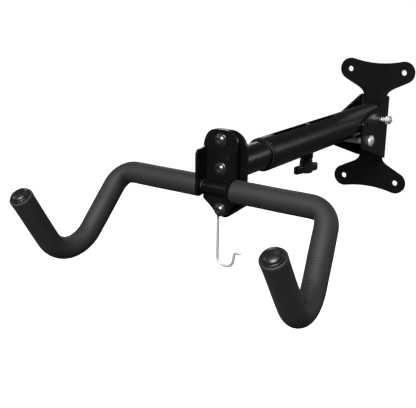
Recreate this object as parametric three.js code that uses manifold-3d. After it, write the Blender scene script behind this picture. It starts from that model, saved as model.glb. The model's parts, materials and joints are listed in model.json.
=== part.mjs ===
// Folding, telescoping bicycle wall rack with a padded W-shaped hook bar and a wire helmet hook.
// Millimetres, +Z up, +Y into the wall. The origin is the centre of the wall plate's back face,
// and the arm reaches out from the wall along -Y. Each mesh is one separate piece.
import * as THREE from "three";
import { mergeVertices } from "three/addons/utils/BufferGeometryUtils.js";
import Module from "manifold-3d";

const wasm = await Module();
wasm.setup();

// ---------------------------------------------------------------- driving dimensions

const clearance = 0.3; // between pieces that are fixed together or screwed through each other
const runningGap = 0.4; // each side, between pieces that slide or turn on each other

// Wall plate with its two folded ears for the arm
const plateThickness = 2.5;
const wallHoleSpacingX = 73;
const wallHoleSpacingZ = 145.5;
const wallHoleRadius = 3.5;
const lobeRadius = 14.2; // rounded corner of the plate round each wall hole
const lobeSlope = Math.PI / 6.7; // underside of a lobe, from the horizontal
const topEdgeDip = 4; // how far the long edge curves in between two lobes
const neckHalfWidth = 16;
const earRootHeight = 83;
const earTipHeight = 37;
const earReach = 82; // from the wall to the ears' front edge
const earTipLift = 2.5; // middle of the front edge above the middle of the plate
const earCornerRadius = 7;
const bendRadius = 1.5; // inside of the fold
const lockHoleRadius = 2.2;
const lockHoleFromEdge = 12; // from the ears' front edge
const stopBoltFromEdge = 24;

// Arm
const armHeight = 14.5; // arm axis above the middle of the plate
const innerTubeRadius = 14.6;
const innerTubeWall = 2;
const bushWall = 0.8; // plastic between the two tubes
const bushLip = 2; // in front of the outer tube
const bushLipInset = 0.7; // lip's edge inside the outer tube's outline
const bushToSlot = 3;
const outerTubeWall = 1.5;
const outerTubeFront = 294; // from the wall
const foldGap = 4.5; // between the wall plate and the arm as it folds up
const tubeBehindPivot = 10;
const travelOut = 78; // how far the inner tube can still be pulled out
const travelIn = 60;
const slotPlay = 0.6; // between the guide screw and the slot's edge
const slotFromFront = 21;
const clampFromWall = 192;
const innerTubeTail = 10; // inner tube left behind the clamp when the arm is pulled right out
const guideScrewDepth = 2; // into the inner tube's bore
const guideScrewDrop = 0.6; // below the top of the outer tube

// Fasteners: thread radius, head radius, head height, nut across flats, nut height
const m6 = { thread: 3, head: 5.25, headHeight: 3.3, flats: 10, nutHeight: 5 };
const m6Flanged = { ...m6, head: 6.4 };
const m8 = { thread: 4, head: 7, headHeight: 4.4, flats: 13, nutHeight: 6.5 };
const washerThickness = 1.6;
const threadShowing = 2; // thread that stands out past a nut
const tipChamfer = 0.6;
const headRim = 0.9; // straight edge of a button head, under its dome
const socketShare = 0.72; // socket's radius over the thread's
const socketDepth = 0.6; // as a share of the head's height
const washerMargin = 0.8; // washer's rim outside the head's
const stopSleeveWall = 0.7;
const pivotSleeveWall = 3.7;
const pivotThreadShowing = 6.5; // bare thread between the right ear and the pivot nut

// Clamp knob under the outer tube
const bossWall = 3.2;
const bossDrop = 4.5;
const hubWall = 3.5;
const hubHeight = 17;
const hubFloor = 4; // closed end under the screw
const wingSpan = 39;
const wingThickness = 8;
const wingHeight = 10;
const wingCorner = 2.5;
const wingTurn = Math.PI / 2.3; // wings' direction from +X, seen from above

// Hook bar, seen from the middle of its crossbar
const barFromWall = 374;
const barHeight = -3;
const barRadius = 5;
const padWall = 5.7;
const shoulderX = 116; // where the crossbar's line meets the falling leg's
const shoulderBend = 21;
const legSplay = 15; // the falling leg, from the shoulder to the bottom corner
const legForward = 68.3;
const legDrop = 91.4;
const hookBottomBend = 32;
const tipForward = 58.4; // the rising leg, from the bottom corner to the tip
const tipRise = 93.4;
const capInset = 1.4; // cap's edge inside the pad's
const capHeight = 4.6;
const capRimHeight = 1.6;
const capBoreDepth = 2.4;

// Brackets that hold the hook bar on the arm
const bracketThickness = 2.5;
const channelHalfWidth = 18.3;
const channelTop = 37.5; // above the arm axis
const channelCorner = 13;
const cheekReach = 10.5; // channel's cheeks, in front of the bar's axis
const cheekTop = 38; // above the bar's axis, at the web
const cheekTopDrop = 1.5;
const cheekCorner = 5.5;
const cheekBottom = -8;
const endPlateHalfWidth = 24.5;
const endPlateTop = 37;
const endPlateCorner = 19;
const topBoltRise = 27.5; // above the arm axis
const bottomBoltDrop = 40; // below the arm axis
const channelTipRadius = 6.5;
const channelTipSlope = Math.PI / 4;
const endPlateTipRadius = 9.5;
const endPlateTipSlope = Math.PI / 5;
const spacerWall = 2.7;

// Wire hook that hangs on the bottom bolt
const wireRadius = 1.4;
const wirePlay = 0.8; // each side, between the channel's web and the end plate
const wireEyePlay = 0.6; // round the bolt
const wireEyeTurn = 1.62 * Math.PI;
const wireDrop = 57.5; // from the bolt to the bottom of the hook
const wireMouth = 17;
const wireBend = 7.8;
const wireTipBend = 2.2;
const wireTipRise = 15;
const wireTipLean = 2.6;
const wireTipLength = 5.6;

// ---------------------------------------------------------------- derived places

const armZ = armHeight;
const tubeBore = innerTubeRadius + bushWall + 2 * clearance;
const outerTubeRadius = tubeBore + outerTubeWall;
const earInner = outerTubeRadius + runningGap;
const earOuter = earInner + plateThickness;
const pivotFromWall = plateThickness + foldGap + outerTubeRadius;
const pivotSleeveRadius = m6.thread + clearance + pivotSleeveWall;
const tubeBack = pivotFromWall - tubeBehindPivot;
const tubeLength = outerTubeFront - tubeBack;
const stopSleeveRadius = m8.thread + clearance + stopSleeveWall;
const stopBoltFromWall = earReach - stopBoltFromEdge;
const stopZ = armZ - outerTubeRadius - clearance - stopSleeveRadius;
const slotWidth = 2 * (m6.thread + slotPlay);
const slotLength = travelIn + travelOut + slotWidth;
const guideFromWall = outerTubeFront - slotFromFront - slotWidth / 2 - travelOut;
const padRadius = barRadius + clearance + padWall;
const capRadius = padRadius - capInset;
const plateGap = 2 * (wireRadius + wirePlay);
const webFront = barRadius + clearance; // all four behind the bar's axis
const webBack = webFront + bracketThickness;
const endPlateFront = webBack + plateGap;
const endPlateBack = endPlateFront + bracketThickness;
const innerTubeFront = barFromWall - endPlateBack - clearance;
const innerTubeBack = clampFromWall - innerTubeTail - travelOut;
const armAboveBar = armZ - barHeight;
const wireY = (webBack + endPlateFront) / 2;
const wireEyeRadius = m6.thread + wireEyePlay + wireRadius;
const bossRadius = m8.thread + clearance + bossWall;
const bossBottom = armZ - outerTubeRadius - bossDrop;
const hubRadius = m8.thread + clearance + hubWall;
const hubTop = bossBottom - runningGap;
const hubBottom = hubTop - hubHeight;
const screwTop = armZ - innerTubeRadius - clearance;
const hookBottom = new THREE.Vector3(shoulderX + legSplay, -legForward, -legDrop);
const hookTip = hookBottom.clone().add(new THREE.Vector3(0, -tipForward, tipRise));

// ---------------------------------------------------------------- small tools

const X = new THREE.Vector3(1, 0, 0);
const Y = new THREE.Vector3(0, 1, 0);
const Z = new THREE.Vector3(0, 0, 1);

function finish(colour, roughness, metalness) {
  return new THREE.MeshStandardMaterial({ color: colour, roughness, metalness });
}

const blackCoat = finish(0x141516, 0.42, 0.2);
const blackBolt = finish(0x1b1c1e, 0.35, 0.7);
const zinc = finish(0xb4b7ba, 0.32, 1.0);
const foam = finish(0x2b2c2c, 0.85, 0.0);
const glossPlastic = finish(0x131415, 0.22, 0.0);
const knobPlastic = finish(0x1c1d1f, 0.55, 0.0);
const nylon = finish(0x101112, 0.5, 0.0);

function solidOf(geometry) {
  const bare = geometry.index ? geometry.toNonIndexed() : geometry.clone();
  bare.deleteAttribute("normal");
  bare.deleteAttribute("uv");
  const merged = mergeVertices(bare, 1e-4);
  const mesh = new wasm.Mesh({
    numProp: 3,
    vertProperties: merged.attributes.position.array,
    triVerts: new Uint32Array(merged.index.array),
  });
  return new wasm.Manifold(mesh);
}

function geometryOf(solid) {
  const mesh = solid.getMesh();
  const geometry = new THREE.BufferGeometry();
  geometry.setAttribute("position", new THREE.BufferAttribute(mesh.vertProperties, 3));
  geometry.setIndex(new THREE.BufferAttribute(mesh.triVerts, 1));
  geometry.computeVertexNormals();
  return geometry;
}

function cut(geometry, ...tools) {
  return geometryOf(tools.reduce((solid, tool) => solid.subtract(solidOf(tool)), solidOf(geometry)));
}

function join(geometry, ...others) {
  return geometryOf(others.reduce((solid, other) => solid.add(solidOf(other)), solidOf(geometry)));
}

// Turns a geometry that was made along +Y so that it runs along a direction from a point.
function along(geometry, direction, from) {
  const turn = new THREE.Quaternion().setFromUnitVectors(Y, direction);
  return geometry.applyQuaternion(turn).translate(from.x, from.y, from.z);
}

function at(x, y, z) {
  return new THREE.Vector3(x, y, z);
}

function rod(radius, length, segments = 32) {
  return new THREE.CylinderGeometry(radius, radius, length, segments).translate(0, length / 2, 0);
}

function lathe(profile, segments = 32) {
  return new THREE.LatheGeometry(profile.map(([r, h]) => new THREE.Vector2(r, h)), segments);
}

function ring(inner, outer, length, segments = 32) {
  return lathe([[inner, 0], [outer, 0], [outer, length], [inner, length], [inner, 0]], segments);
}

// A closed outline extruded through a thickness, both along +Z.
function slab(outline, thickness, curveSegments = 8) {
  const options = { depth: thickness, bevelEnabled: false, curveSegments };
  return new THREE.ExtrudeGeometry(outline, options);
}

// A slab whose outline was drawn in X and Z. It ends up between y and y + thickness.
function uprightSlab(outline, y, thickness) {
  return slab(outline, thickness).rotateX(Math.PI / 2).translate(0, y + thickness, 0);
}

function outlineOf(points) {
  return new THREE.Shape(points.map(([x, y]) => new THREE.Vector2(x, y)));
}

// Points of an arc round a centre, from one angle to another.
function arc(cx, cy, radius, from, to, steps) {
  return Array.from({ length: steps + 1 }, (_, i) => {
    const angle = from + ((to - from) * i) / steps;
    return [cx + radius * Math.cos(angle), cy + radius * Math.sin(angle)];
  });
}

// Right half of an outline, bottom to top, and its mirror image back down.
function mirrored(rightHalf) {
  const left = rightHalf.map(([x, y]) => [-x, y]).reverse();
  return outlineOf([...rightHalf, ...left].filter(([x, y], i, all) => {
    const [px, py] = all[(i + all.length - 1) % all.length];
    return Math.hypot(x - px, y - py) > 1e-6;
  }));
}

// A path given as stations, each a point and the direction there, so that straight stretches
// take one step and only the bends are divided.
class StationPath extends THREE.Curve {
  constructor(stations) {
    super();
    this.stations = stations;
  }

  stationAt(u) {
    return this.stations[Math.round(u * (this.stations.length - 1))];
  }

  getPointAt(u) {
    return this.stationAt(u).point.clone();
  }

  getTangentAt(u) {
    return this.stationAt(u).tangent.clone();
  }
}

// Stations along straight lines through the corners, with each inner corner rounded off.
function bentStations(corners, bends, stepsPerBend) {
  const last = corners.length - 1;
  const way = (i) => corners[i + 1].clone().sub(corners[i]).normalize();
  const stations = [{ point: corners[0].clone(), tangent: way(0) }];
  for (let i = 1; i < last; i += 1) {
    const into = way(i - 1);
    const out = way(i);
    const turn = into.angleTo(out);
    const side = out.clone().addScaledVector(into, -out.dot(into)).normalize();
    const start = corners[i].clone().addScaledVector(into, -bends[i - 1] * Math.tan(turn / 2));
    for (let k = 0; k <= stepsPerBend; k += 1) {
      const angle = (turn * k) / stepsPerBend;
      const point = start.clone().addScaledVector(into, bends[i - 1] * Math.sin(angle));
      point.addScaledVector(side, bends[i - 1] * (1 - Math.cos(angle)));
      const tangent = into.clone().multiplyScalar(Math.cos(angle));
      tangent.addScaledVector(side, Math.sin(angle));
      stations.push({ point, tangent });
    }
  }
  stations.push({ point: corners[last].clone(), tangent: way(last - 1) });
  return stations;
}

// A bar or sleeve along stations; a sleeve has a bore.
function sweep(stations, radius, sides, bore = 0, boreSides = 12) {
  const section = outlineOf(arc(0, 0, radius, 0, 2 * Math.PI, sides).slice(0, -1));
  if (bore > 0) {
    const hole = arc(0, 0, bore, 0, -2 * Math.PI, boreSides).slice(0, -1);
    section.holes.push(new THREE.Path(hole.map(([x, y]) => new THREE.Vector2(x, y))));
  }
  const extrudePath = new StationPath(stations);
  return new THREE.ExtrudeGeometry(section, { steps: stations.length - 1, extrudePath });
}

// ---------------------------------------------------------------- fasteners

// Button-head bolt: tip at 0, underside of the head at its length, socket in the head.
function buttonBolt(size, length) {
  const top = length + size.headHeight;
  const socket = size.thread * socketShare;
  const floor = top - size.headHeight * socketDepth;
  const dome = arc(0, 0, 1, 0, Math.PI / 2, 8)
    .map(([r, h]) => [r * size.head, length + headRim + h * (size.headHeight - headRim)])
    .filter(([r]) => r > socket);
  return lathe([
    [0, 0], [size.thread - tipChamfer, 0], [size.thread, tipChamfer], [size.thread, length],
    [size.head, length], ...dome, [socket, top], [socket, floor], [0, floor],
  ]);
}

function hexNut(size) {
  const corner = size.flats / 2 / Math.cos(Math.PI / 6);
  const outline = outlineOf(arc(0, 0, corner, 0, 2 * Math.PI, 6).slice(0, -1));
  const bore = arc(0, 0, size.thread + clearance, 0, -2 * Math.PI, 20).slice(0, -1);
  outline.holes.push(new THREE.Path(bore.map(([x, y]) => new THREE.Vector2(x, y))));
  return slab(outline, size.nutHeight).rotateX(-Math.PI / 2);
}

function washer(size) {
  return ring(size.thread + clearance, size.head + washerMargin, washerThickness);
}

// ---------------------------------------------------------------- wall bracket

function wallPlateOutline() {
  const cx = wallHoleSpacingX / 2;
  const cz = wallHoleSpacingZ / 2;
  const lobe = arc(cx, cz, lobeRadius, -Math.PI / 2 + lobeSlope, Math.PI * 0.58, 20);
  const [lobeX, lobeZ] = lobe[0];
  const neckZ = earRootHeight / 2;
  const neckCurve = new THREE.QuadraticBezierCurve(
    new THREE.Vector2(neckHalfWidth, neckZ),
    new THREE.Vector2(neckHalfWidth + 0.5, lobeZ - (lobeX - neckHalfWidth) * Math.tan(lobeSlope)),
    new THREE.Vector2(neckHalfWidth + 9, lobeZ - (lobeX - neckHalfWidth - 9) * Math.tan(lobeSlope)),
  );
  const [edgeX, edgeZ] = lobe[lobe.length - 1];
  const dipSteps = 10;
  const dip = Array.from({ length: dipSteps }, (_, i) => {
    const x = edgeX * (1 - (i + 1) / dipSteps);
    return [x, edgeZ - topEdgeDip * (1 - (x / edgeX) ** 2)];
  });
  const neck = neckCurve.getPoints(12).map((p) => [p.x, p.y]);
  const upper = [...neck, ...lobe, ...dip];
  const lower = upper.map(([x, z]) => [x, -z]).reverse();
  return mirrored([...lower, ...upper]);
}

// Side view of the ears: distance from the wall and height.
function earOutline() {
  const root = earRootHeight / 2;
  const tip = earTipHeight / 2;
  const r = earCornerRadius;
  const slopeTop = Math.atan2(root - tip - earTipLift, earReach);
  const slopeBottom = Math.atan2(root - tip + earTipLift, earReach);
  const top = arc(earReach - r, earTipLift + tip - r, r, 0, Math.PI / 2 - slopeTop, 8);
  const bottom = arc(earReach - r, earTipLift - tip + r, r, -Math.PI / 2 + slopeBottom, 0, 8);
  return outlineOf([[0, -root], ...bottom, ...top, [0, root]]);
}

// The ears and the web between them, as a channel seen from above.
function earChannel() {
  const t = plateThickness;
  const r = bendRadius;
  const outer = r + t;
  const section = outlineOf([
    [-earOuter, -earReach], [-earInner, -earReach],
    ...arc(-earInner + r, -t - r, r, Math.PI, Math.PI / 2, 4),
    ...arc(earInner - r, -t - r, r, Math.PI / 2, 0, 4),
    [earInner, -earReach], [earOuter, -earReach],
    ...arc(earOuter - outer, -outer, outer, 0, Math.PI / 2, 6),
    ...arc(-earOuter + outer, -outer, outer, Math.PI / 2, Math.PI, 6),
  ]);
  return slab(section, earRootHeight).translate(0, 0, -earRootHeight / 2);
}

function wallPlate() {
  const side = slab(earOutline(), 4 * earOuter);
  side.rotateY(Math.PI / 2).rotateX(Math.PI / 2).rotateZ(Math.PI);
  side.computeBoundingBox();
  const { min, max } = side.boundingBox;
  side.translate(-(min.x + max.x) / 2, 0, 0);
  const channel = geometryOf(solidOf(earChannel()).intersect(solidOf(side)));
  const plate = uprightSlab(wallPlateOutline(), -plateThickness, plateThickness);
  const across = 4 * earOuter;
  const crossHole = (radius, fromWall, z) =>
    along(rod(radius, across), X, at(-across / 2, -fromWall, z));
  const holes = [
    crossHole(m6.thread + clearance, pivotFromWall, armZ),
    crossHole(m8.thread + clearance, stopBoltFromWall, stopZ),
    crossHole(lockHoleRadius, earReach - lockHoleFromEdge, armZ),
  ];
  for (const sx of [-1, 1]) {
    for (const sz of [-1, 1]) {
      const centre = at((sx * wallHoleSpacingX) / 2, -2 * plateThickness, (sz * wallHoleSpacingZ) / 2);
      holes.push(along(rod(wallHoleRadius, 4 * plateThickness), Y, centre));
    }
  }
  return cut(join(plate, channel), ...holes);
}

// ---------------------------------------------------------------- arm

// An arm piece made along +Y is laid along -Y from its distance from the wall, on the arm axis.
function onArm(geometry, fromWall) {
  return along(geometry, Y.clone().negate(), at(0, -fromWall, armZ));
}

function outerTube() {
  const tube = onArm(ring(tubeBore, outerTubeRadius, tubeLength, 64), tubeBack);
  const sleeveHole = rod(pivotSleeveRadius + clearance, 4 * outerTubeRadius);
  const screwHole = rod(m8.thread + clearance, 2 * outerTubeRadius);
  const half = slotLength / 2 - slotWidth / 2;
  const slot = outlineOf([
    ...arc(0, half, slotWidth / 2, 0, Math.PI, 12),
    ...arc(0, -half, slotWidth / 2, Math.PI, 2 * Math.PI, 12),
  ]);
  const slotMiddle = outerTubeFront - slotFromFront - slotLength / 2;
  return cut(
    tube,
    along(sleeveHole, X, at(-2 * outerTubeRadius, -pivotFromWall, armZ)),
    along(screwHole, Z, at(0, -clampFromWall, armZ - 2 * outerTubeRadius)),
    slab(slot, 2 * outerTubeRadius).translate(0, -slotMiddle, armZ),
  );
}

function tubeBush() {
  const inner = innerTubeRadius + clearance;
  const outer = tubeBore - clearance;
  const depth = slotFromFront - bushToSlot;
  const length = depth + clearance + bushLip;
  const lipRadius = outerTubeRadius - bushLipInset;
  const bush = lathe([
    [inner, 0], [outer, 0], [outer, depth + clearance], [lipRadius, depth + clearance],
    [lipRadius, length], [inner, length], [inner, 0],
  ], 64);
  return onArm(bush, outerTubeFront - depth);
}

function clampBoss() {
  const height = outerTubeRadius;
  const boss = along(ring(m8.thread + clearance, bossRadius, height), Z, at(0, -clampFromWall, bossBottom));
  return cut(boss, onArm(rod(outerTubeRadius + clearance, tubeLength, 64), tubeBack));
}

function clampKnob() {
  const hub = lathe([
    [0, 0], [hubRadius - 1.5, 0], [hubRadius, 1.5], [hubRadius, hubHeight - 1], [hubRadius - 1, hubHeight],
    [0, hubHeight],
  ]);
  const half = wingSpan / 2 - wingCorner;
  const high = wingHeight - wingCorner;
  const side = outlineOf([
    ...arc(half, wingCorner, wingCorner, -Math.PI / 2, 0, 6),
    ...arc(half, high, wingCorner, 0, Math.PI / 2, 6),
    ...arc(-half, high, wingCorner, Math.PI / 2, Math.PI, 6),
    ...arc(-half, wingCorner, wingCorner, Math.PI, 1.5 * Math.PI, 6),
  ]);
  const wings = slab(side, wingThickness).translate(0, 0, -wingThickness / 2).rotateY(wingTurn);
  const bore = rod(m8.thread + clearance, hubHeight).translate(0, hubFloor, 0);
  return along(cut(join(hub, wings), bore), Z, at(0, -clampFromWall, hubBottom));
}

function clampScrew() {
  const bottom = hubBottom + hubFloor + clearance;
  const length = screwTop - bottom;
  const screw = lathe([
    [0, 0], [m8.thread, 0], [m8.thread, length - 1], [m8.thread - 1, length], [0, length],
  ]);
  return along(screw, Z, at(0, -clampFromWall, bottom));
}

function innerTube() {
  const length = innerTubeFront - innerTubeBack;
  const tube = onArm(ring(innerTubeRadius - innerTubeWall, innerTubeRadius, length, 56), innerTubeBack);
  const hole = rod(m6.thread + clearance, 2 * innerTubeRadius);
  return cut(tube, along(hole, Z, at(0, -guideFromWall, armZ)));
}

function guideScrew() {
  const bottom = armZ + innerTubeRadius - innerTubeWall - guideScrewDepth;
  const screw = rod(m6.thread, armZ + outerTubeRadius - guideScrewDrop - bottom);
  return along(screw, Z, at(0, -guideFromWall, bottom));
}

// ---------------------------------------------------------------- hook bar and its brackets
// These pieces are made about the middle of the crossbar: y grows towards the wall.

// A plate that is straight-sided above, with rounded top corners, and tapers to a round tip below.
function taperedPlate(halfWidth, top, corner, tipZ, tipRadius, slope) {
  const [tangentX, tangentZ] = [tipRadius * Math.sin(slope), tipZ - tipRadius * Math.cos(slope)];
  const sideZ = tangentZ + (halfWidth - tangentX) * Math.tan(slope);
  return mirrored([
    ...arc(0, tipZ, tipRadius, -Math.PI / 2, -Math.PI / 2 + slope, 8),
    [halfWidth, sideZ],
    ...arc(halfWidth - corner, top - corner, corner, 0, Math.PI / 2, 12),
  ]);
}

const boltZ = {
  top: armAboveBar + topBoltRise,
  middle: armAboveBar,
  bottom: armAboveBar - bottomBoltDrop,
};

function boltHoles() {
  return Object.values(boltZ).map((z) => along(rod(m6.thread + clearance, 60), Y, at(0, -30, z)));
}

function hookChannel() {
  const outline = taperedPlate(
    channelHalfWidth, armAboveBar + channelTop, channelCorner, boltZ.bottom, channelTipRadius,
    channelTipSlope,
  );
  const web = uprightSlab(outline, webFront, bracketThickness);
  const cheekOutline = outlineOf([
    [-cheekReach, cheekBottom], [webBack, cheekBottom], [webBack, cheekTop],
    [0, cheekTop - cheekTopDrop / 3],
    ...arc(-cheekReach + cheekCorner, cheekTop - cheekTopDrop - cheekCorner, cheekCorner, Math.PI / 2,
      Math.PI, 8),
  ]);
  const cheek = slab(cheekOutline, bracketThickness).rotateX(Math.PI / 2).rotateZ(Math.PI / 2);
  const right = cheek.clone().translate(channelHalfWidth - bracketThickness, 0, 0);
  const left = cheek.clone().translate(-channelHalfWidth, 0, 0);
  const barHole = along(rod(barRadius + clearance, 100), X, at(-50, 0, 0));
  return cut(join(web, right, left), barHole, ...boltHoles());
}

function endPlate() {
  const outline = taperedPlate(
    endPlateHalfWidth, armAboveBar + endPlateTop, endPlateCorner, boltZ.bottom, endPlateTipRadius,
    endPlateTipSlope,
  );
  return cut(uprightSlab(outline, endPlateFront, bracketThickness), ...boltHoles());
}

// Stations of one half of the bar, from the crossbar outwards.
function halfBar(side, startX, tipShort) {
  const bottom = hookBottom.clone().setX(side * hookBottom.x);
  const tip = hookTip.clone().setX(side * hookTip.x);
  const end = tip.clone().addScaledVector(tip.clone().sub(bottom).normalize(), -tipShort);
  const corners = [at(side * startX, 0, 0), at(side * shoulderX, 0, 0), bottom, end];
  return bentStations(corners, [shoulderBend, hookBottomBend], 8);
}

function hookBar() {
  const right = halfBar(1, 0, capHeight - capBoreDepth + clearance);
  const left = halfBar(-1, 0, capHeight - capBoreDepth + clearance).reverse().slice(0, -1);
  left.forEach((station) => station.tangent.negate());
  return sweep([...left, ...right.slice(1)], barRadius, 16);
}

function pad(side) {
  const start = channelHalfWidth + clearance;
  return sweep(halfBar(side, start, capHeight + clearance), padRadius, 20, barRadius + clearance);
}

function endCap(side) {
  const bottom = hookBottom.clone().setX(side * hookBottom.x);
  const tip = hookTip.clone().setX(side * hookTip.x);
  const way = tip.clone().sub(bottom).normalize();
  const dome = arc(0, 0, 1, 0.25, Math.PI / 2, 6)
    .map(([r, h]) => [r * (capRadius - 0.4), capRimHeight + h * (capHeight - capRimHeight)]);
  dome[dome.length - 1][0] = 0;
  const cap = lathe([
    [0, capBoreDepth], [barRadius + clearance, capBoreDepth], [barRadius + clearance, 0],
    [capRadius, 0], [capRadius, capRimHeight], ...dome,
  ], 28);
  return along(cap, way, tip.clone().addScaledVector(way, -capHeight));
}

function bracketBolt(z, y, reach) {
  return along(buttonBolt(m6Flanged, reach), Y.clone().negate(), at(0, y + reach, z));
}

// ---------------------------------------------------------------- wire hook

function wireHook() {
  const spot = (x, z) => at(x, wireY, boltZ.bottom + z);
  const eye = [];
  const eyeSteps = 16;
  for (let i = 0; i <= eyeSteps; i += 1) {
    const angle = Math.PI - wireEyeTurn + (wireEyeTurn * i) / eyeSteps;
    const point = spot(wireEyeRadius * Math.cos(angle), wireEyeRadius * Math.sin(angle));
    eye.push({ point, tangent: at(-Math.sin(angle), 0, Math.cos(angle)) });
  }
  const left = -wireEyeRadius;
  const shank = bentStations([
    spot(left, 0), spot(left, -wireDrop), spot(left + wireMouth, -wireDrop),
    spot(left + wireMouth + wireTipLean, -wireDrop + wireTipRise),
    spot(left + wireMouth + wireTipLean + wireTipLength, -wireDrop + wireTipRise + 0.8),
  ], [wireBend, wireBend, wireTipBend], 6);
  return sweep([...eye, ...shank.slice(1)], wireRadius, 8);
}

// ---------------------------------------------------------------- assembly

const rack = new THREE.Group();
const hookEnd = new THREE.Group();
hookEnd.position.set(0, -barFromWall, barHeight);
rack.add(hookEnd);

function piece(parent, name, geometry, material) {
  const mesh = new THREE.Mesh(geometry, material);
  mesh.name = name;
  parent.add(mesh);
}

// Wall bracket
const headSide = -(earOuter + clearance); // outside of the left ear
const nutSide = earOuter + pivotThreadShowing;
const pivotTip = nutSide + m6.nutHeight + threadShowing;
const pivotBoltLength = pivotTip - headSide + washerThickness + clearance;
piece(rack, "wall_plate", wallPlate(), blackCoat);
piece(rack, "pivot_bolt",
  along(buttonBolt(m6, pivotBoltLength), X.clone().negate(), at(pivotTip, -pivotFromWall, armZ)), zinc);
piece(rack, "pivot_washer",
  along(washer(m6), X, at(headSide - washerThickness, -pivotFromWall, armZ)), zinc);
piece(rack, "pivot_nut", along(hexNut(m6), X, at(nutSide, -pivotFromWall, armZ)), zinc);

const stopHeadSide = earOuter + clearance;
const stopWasherOuter = -(earOuter + clearance + washerThickness);
const stopNutOuter = stopWasherOuter - clearance - m8.nutHeight;
const stopTip = stopNutOuter - threadShowing;
const sleeveLength = 2 * (earInner - clearance);
piece(rack, "stop_bolt",
  along(buttonBolt(m8, stopHeadSide - stopTip), X, at(stopTip, -stopBoltFromWall, stopZ)), zinc);
piece(rack, "stop_sleeve",
  along(ring(m8.thread + clearance, stopSleeveRadius, sleeveLength), X,
    at(-sleeveLength / 2, -stopBoltFromWall, stopZ)), zinc);
piece(rack, "stop_washer", along(washer(m8), X, at(stopWasherOuter, -stopBoltFromWall, stopZ)), zinc);
piece(rack, "stop_nut", along(hexNut(m8), X, at(stopNutOuter, -stopBoltFromWall, stopZ)), zinc);

// Outer arm
piece(rack, "outer_tube", outerTube(), blackCoat);
piece(rack, "pivot_sleeve",
  along(ring(m6.thread + clearance, pivotSleeveRadius, sleeveLength), X,
    at(-sleeveLength / 2, -pivotFromWall, armZ)), blackCoat);
piece(rack, "tube_bush", tubeBush(), nylon);
piece(rack, "clamp_boss", clampBoss(), blackCoat);
piece(rack, "clamp_screw", clampScrew(), zinc);
piece(rack, "clamp_knob", clampKnob(), knobPlastic);

// Inner arm
piece(rack, "inner_tube", innerTube(), blackCoat);
piece(rack, "guide_screw", guideScrew(), blackBolt);
piece(hookEnd, "end_plate", endPlate(), blackCoat);
piece(hookEnd, "hook_channel", hookChannel(), blackCoat);
piece(hookEnd, "hook_bar", hookBar(), blackCoat);
for (const [word, side] of [["left", -1], ["right", 1]]) {
  piece(hookEnd, `pad_${word}`, pad(side), foam);
  piece(hookEnd, `end_cap_${word}`, endCap(side), glossPlastic);
}
const headY = webFront - clearance;
const nutY = endPlateBack + clearance;
const boltReach = nutY + m6.nutHeight + clearance + washerThickness + threadShowing - headY;
for (const [word, z] of Object.entries(boltZ)) {
  const inTube = word === "middle";
  const stack = inTube ? 0 : washerThickness + clearance;
  piece(hookEnd, `bolt_${word}`, bracketBolt(z, headY, boltReach), blackBolt);
  piece(hookEnd, `nut_${word}`, along(hexNut(m6), Y, at(0, nutY + stack, z)), blackBolt);
  if (!inTube) piece(hookEnd, `washer_${word}`, along(washer(m6), Y, at(0, nutY, z)), blackBolt);
  if (word !== "bottom") {
    const spacer = ring(m6.thread + clearance, m6.thread + clearance + spacerWall, plateGap - 2 * clearance);
    piece(hookEnd, `spacer_${word}`, along(spacer, Y, at(0, webBack + clearance, z)), zinc);
  }
}
piece(hookEnd, "wire_hook", wireHook(), zinc);

export default rack;
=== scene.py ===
"""Looks of a folding, telescoping bicycle wall rack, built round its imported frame."""

import json
import math

import bmesh
import bpy
from bpy.props import FloatProperty, FloatVectorProperty, PointerProperty
from mathutils import Matrix, Vector


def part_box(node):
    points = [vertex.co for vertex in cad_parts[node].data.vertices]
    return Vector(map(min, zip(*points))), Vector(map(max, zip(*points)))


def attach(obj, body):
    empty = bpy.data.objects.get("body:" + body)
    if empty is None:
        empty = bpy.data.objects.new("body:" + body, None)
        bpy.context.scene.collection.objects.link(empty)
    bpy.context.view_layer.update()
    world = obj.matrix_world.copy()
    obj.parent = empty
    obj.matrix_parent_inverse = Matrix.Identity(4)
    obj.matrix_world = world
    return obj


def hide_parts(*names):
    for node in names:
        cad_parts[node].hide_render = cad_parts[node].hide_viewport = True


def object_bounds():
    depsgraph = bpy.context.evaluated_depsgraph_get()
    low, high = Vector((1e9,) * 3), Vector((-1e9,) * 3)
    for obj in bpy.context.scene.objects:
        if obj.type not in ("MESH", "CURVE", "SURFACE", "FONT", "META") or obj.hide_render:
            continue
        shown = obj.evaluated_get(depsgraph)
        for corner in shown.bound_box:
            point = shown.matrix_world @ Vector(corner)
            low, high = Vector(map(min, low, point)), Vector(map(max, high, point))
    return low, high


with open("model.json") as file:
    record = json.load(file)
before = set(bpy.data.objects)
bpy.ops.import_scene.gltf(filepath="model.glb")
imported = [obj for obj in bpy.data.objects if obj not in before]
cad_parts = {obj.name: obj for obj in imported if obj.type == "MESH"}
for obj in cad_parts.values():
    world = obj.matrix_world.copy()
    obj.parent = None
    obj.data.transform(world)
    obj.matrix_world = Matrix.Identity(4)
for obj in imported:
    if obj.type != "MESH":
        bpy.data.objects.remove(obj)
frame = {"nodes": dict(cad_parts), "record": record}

bl_info = {
    "name": "Bicycle Wall Rack",
    "version": (1, 0, 0),
    "blender": (4, 5, 0),
    "location": "3D View > Sidebar > Wall Rack",
    "description": "Builds the pieces and finishes of a folding bicycle wall rack",
    "category": "Object",
}

CAD_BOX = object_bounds()
MM = 0.001
X, Y, Z = Vector((1, 0, 0)), Vector((0, 1, 0)), Vector((0, 0, 1))

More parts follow.
